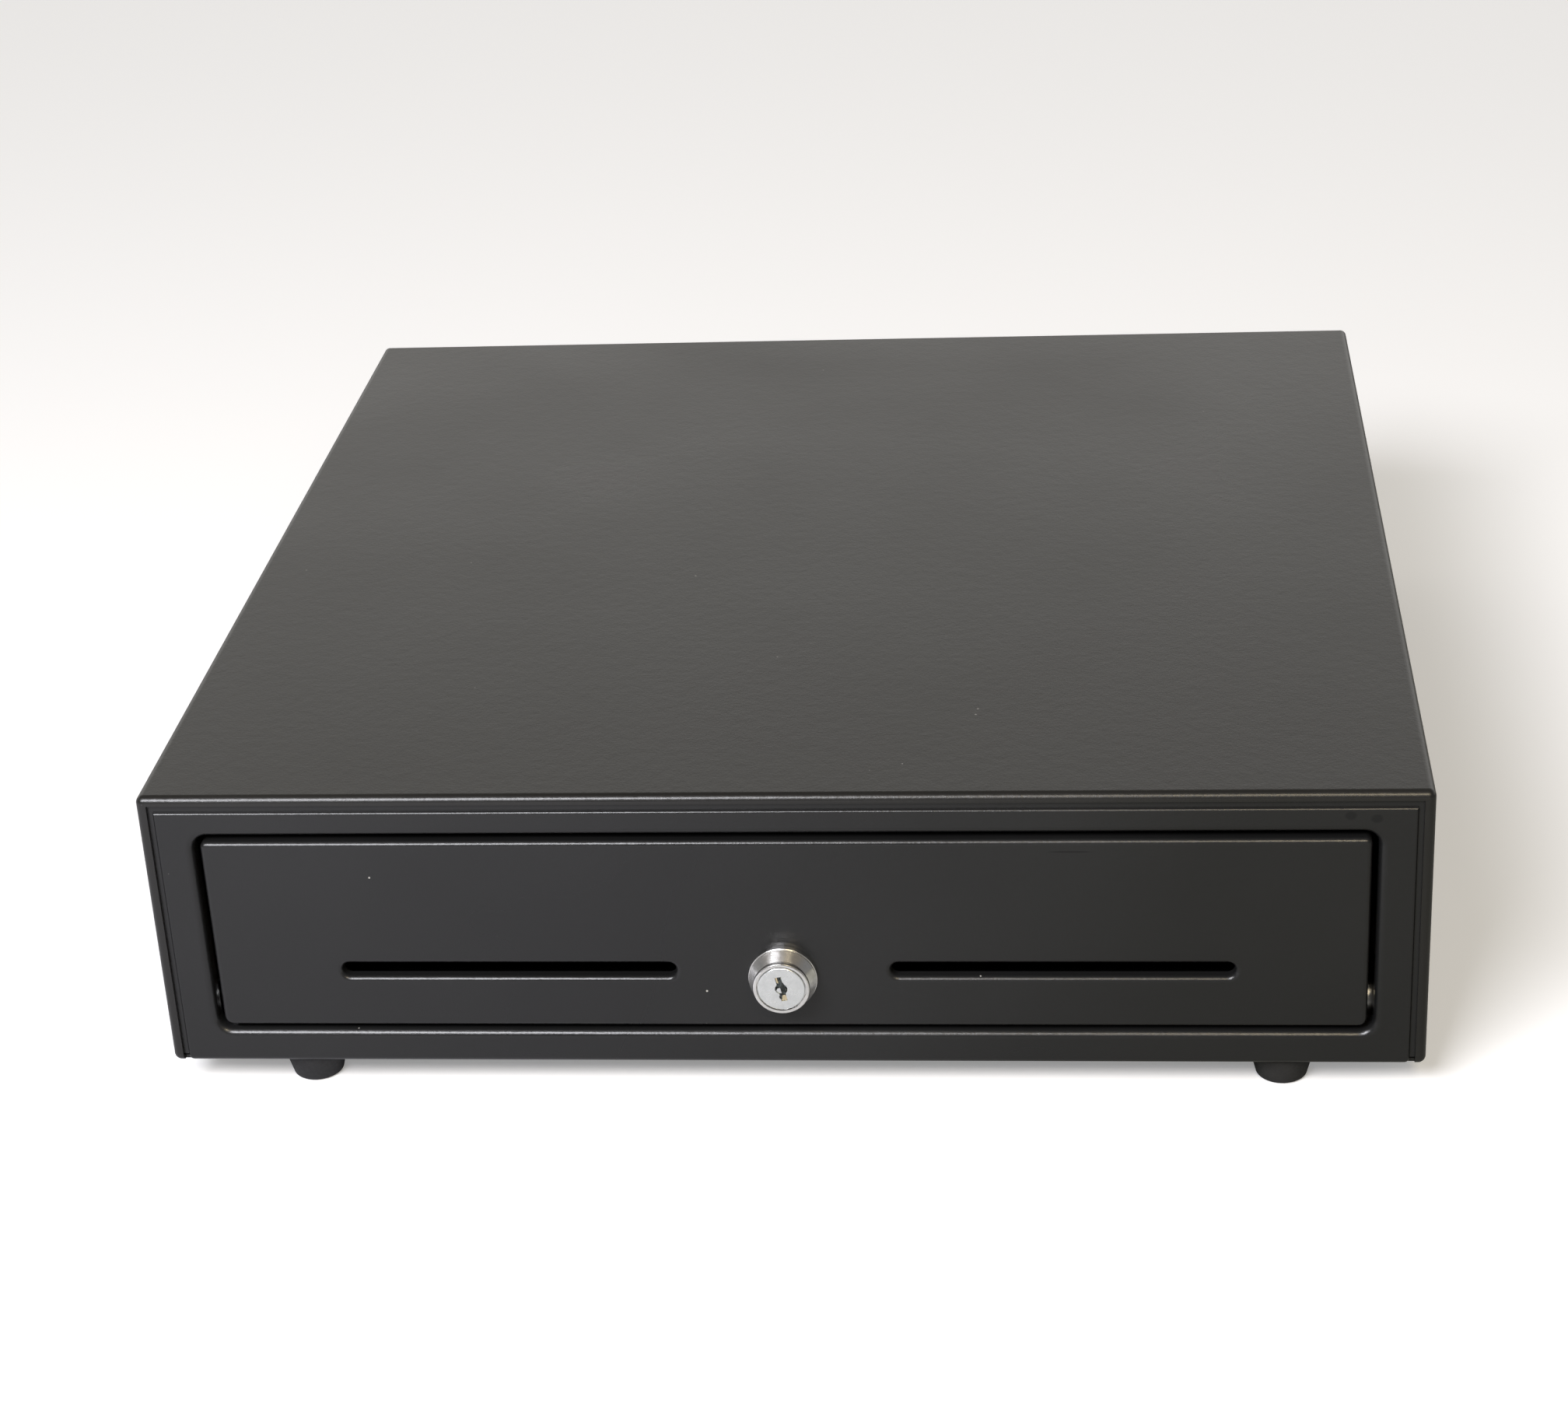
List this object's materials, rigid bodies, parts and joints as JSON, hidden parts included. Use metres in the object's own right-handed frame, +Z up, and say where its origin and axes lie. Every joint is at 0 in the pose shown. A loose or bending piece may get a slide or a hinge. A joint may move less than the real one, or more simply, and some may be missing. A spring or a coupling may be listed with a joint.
{
  "type": "cash drawer",
  "caption": "Black steel cash drawer with a sliding drawer, key lock, media slots, note and coin till, and an electric release latch on rubber feet.",
  "frame": {"origin": "middle of the width, midway between the lock's face and the housing's back, at the underside of the feet", "axes": "+X to the right seen from the front, +Y to the back, +Z up; the drawer opens along -Y"},
  "size_m": [0.41, 0.423, 0.1098],
  "materials": {
    "black_powder_coat": "fine-textured black powder coat, satin",
    "zinc_steel": "zinc plated",
    "satin_chrome": "satin chrome",
    "bearing_steel": "polished",
    "foot_rubber": "matt",
    "till_plastic": "fine-grained ABS",
    "clip_plastic": "semi-matt moulded",
    "spring_steel": "bright wire",
    "coil_winding": "amber tape over windings",
    "switch_plastic": "matt moulded",
    "circuit_board": "green solder mask",
    "cable_sheath": "satin",
    "guide_nylon": "natural nylon"
  },
  "bodies": {
    "housing": {"top_cover": "black_powder_coat", "front_frame": "black_powder_coat", "back_panel": "black_powder_coat", "base_pan": "zinc_steel", "feet": "foot_rubber", "foot_screws": "zinc_steel", "foot_nuts": "zinc_steel", "base_screws": "zinc_steel", "left_rail": "zinc_steel", "right_rail": "zinc_steel", "rail_rivets": "zinc_steel", "front_roller_axles": "zinc_steel", "rail_buffers": "foot_rubber", "latch_bracket": "zinc_steel", "latch_pin": "spring_steel", "latch_spring": "spring_steel", "solenoid_frame": "zinc_steel", "solenoid_coil": "coil_winding", "mechanism_screws": "zinc_steel", "ejector_guide": "zinc_steel", "ejector_spring": "spring_steel", "switch_bracket": "zinc_steel", "microswitch": "switch_plastic", "switch_screws": "zinc_steel", "socket_board": "circuit_board", "board_standoffs": "zinc_steel", "rear_socket": "switch_plastic", "solenoid_cable": "cable_sheath", "switch_cable": "cable_sheath"},
    "drawer": {"drawer_front": "black_powder_coat", "drawer_body": "black_powder_coat", "left_runner": "zinc_steel", "right_runner": "zinc_steel", "runner_rivets": "zinc_steel", "panel_rivets": "zinc_steel", "rear_roller_axles": "zinc_steel", "till_ledges": "zinc_steel", "striker": "zinc_steel", "till_tray": "till_plastic", "clip_pins": "spring_steel", "clip_springs": "spring_steel", "lock_body": "satin_chrome", "lock_nut": "zinc_steel", "shaft_guide": "guide_nylon"},
    "front_wheel_left": {"front_roller_left": "bearing_steel"},
    "front_wheel_right": {"front_roller_right": "bearing_steel"},
    "rear_wheel_left": {"rear_roller_left": "bearing_steel"},
    "rear_wheel_right": {"rear_roller_right": "bearing_steel"},
    "lock_cylinder": {"lock_plug": "satin_chrome", "lock_shaft": "zinc_steel"},
    "hook": {"latch_hook": "zinc_steel"},
    "plunger": {"solenoid_plunger": "bearing_steel"},
    "pusher": {"ejector_pusher": "zinc_steel"},
    "lever": {"switch_lever": "spring_steel"},
    "coin_insert": {"coin_tray": "till_plastic"},
    "note_clip_1": {"bill_clip_1": "clip_plastic"},
    "note_clip_2": {"bill_clip_2": "clip_plastic"},
    "note_clip_3": {"bill_clip_3": "clip_plastic"},
    "note_clip_4": {"bill_clip_4": "clip_plastic"},
    "note_clip_5": {"bill_clip_5": "clip_plastic"}
  },
  "joints": [
    {"name": "drawer_slide", "type": "slide", "parent": "housing", "child": "drawer", "axis": [0, -1, 0], "range_m": [0, 0.3]},
    {"name": "front_wheel_left_turn", "type": "hinge", "parent": "housing", "child": "front_wheel_left", "pos_m": [-0.19, -0.1835, 0.025], "axis": [1, 0, 0], "range_deg": [0, 2160]},
    {"name": "front_wheel_right_turn", "type": "hinge", "parent": "housing", "child": "front_wheel_right", "pos_m": [0.19, -0.1835, 0.025], "axis": [1, 0, 0], "range_deg": [0, 2160]},
    {"name": "rear_wheel_left_turn", "type": "hinge", "parent": "drawer", "child": "rear_wheel_left", "pos_m": [-0.194, 0.1345, 0.025], "axis": [1, 0, 0], "range_deg": [0, 2160]},
    {"name": "rear_wheel_right_turn", "type": "hinge", "parent": "drawer", "child": "rear_wheel_right", "pos_m": [0.194, 0.1345, 0.025], "axis": [1, 0, 0], "range_deg": [0, 2160]},
    {"name": "key_turn", "type": "hinge", "parent": "drawer", "child": "lock_cylinder", "pos_m": [0, -0.2035, 0.044], "axis": [0, 1, 0], "range_deg": [-78, 102]},
    {"name": "latch_pivot", "type": "hinge", "parent": "housing", "child": "hook", "pos_m": [0, 0.1945, 0.038], "axis": [1, 0, 0], "range_deg": [0, 12]},
    {"name": "plunger_slide", "type": "slide", "parent": "housing", "child": "plunger", "axis": [0, 0, -1], "range_m": [0, 0.0026]},
    {"name": "pusher_slide", "type": "slide", "parent": "housing", "child": "pusher", "axis": [0, -1, 0], "range_m": [0, 0.025], "deforming": ["ejector_spring"]},
    {"name": "switch_lever_pivot", "type": "hinge", "parent": "housing", "child": "lever", "pos_m": [0.0615, 0.1549, 0.044], "axis": [0, 0, -1], "range_deg": [0, 12]},
    {"name": "coin_tray_lift", "type": "slide", "parent": "drawer", "child": "coin_insert", "axis": [0, 0, 1], "range_m": [0, 0.015]},
    {"name": "note_clip_1_swing", "type": "hinge", "parent": "drawer", "child": "note_clip_1", "pos_m": [-0.14368, 0.1365, 0.083], "axis": [-1, 0, 0], "range_deg": [0, 38]},
    {"name": "note_clip_2_swing", "type": "hinge", "parent": "drawer", "child": "note_clip_2", "pos_m": [-0.07184, 0.1365, 0.083], "axis": [-1, 0, 0], "range_deg": [0, 38]},
    {"name": "note_clip_3_swing", "type": "hinge", "parent": "drawer", "child": "note_clip_3", "pos_m": [0, 0.1365, 0.083], "axis": [-1, 0, 0], "range_deg": [0, 38]},
    {"name": "note_clip_4_swing", "type": "hinge", "parent": "drawer", "child": "note_clip_4", "pos_m": [0.07184, 0.1365, 0.083], "axis": [-1, 0, 0], "range_deg": [0, 38]},
    {"name": "note_clip_5_swing", "type": "hinge", "parent": "drawer", "child": "note_clip_5", "pos_m": [0.14368, 0.1365, 0.083], "axis": [-1, 0, 0], "range_deg": [0, 38]}
  ],
  "couplings": [
    {"joint": "front_wheel_left_turn", "follows": "drawer_slide", "rad_per_m": 125},
    {"joint": "front_wheel_right_turn", "follows": "drawer_slide", "rad_per_m": 125},
    {"joint": "rear_wheel_left_turn", "follows": "drawer_slide", "rad_per_m": 125},
    {"joint": "rear_wheel_right_turn", "follows": "drawer_slide", "rad_per_m": 125},
    {"joint": "pusher_slide", "follows": "drawer_slide", "ratio": 0.083333},
    {"joint": "switch_lever_pivot", "follows": "drawer_slide", "rad_per_m": 0.69803},
    {"joint": "plunger_slide", "follows": "latch_pivot", "m_per_rad": 0.012}
  ]
}
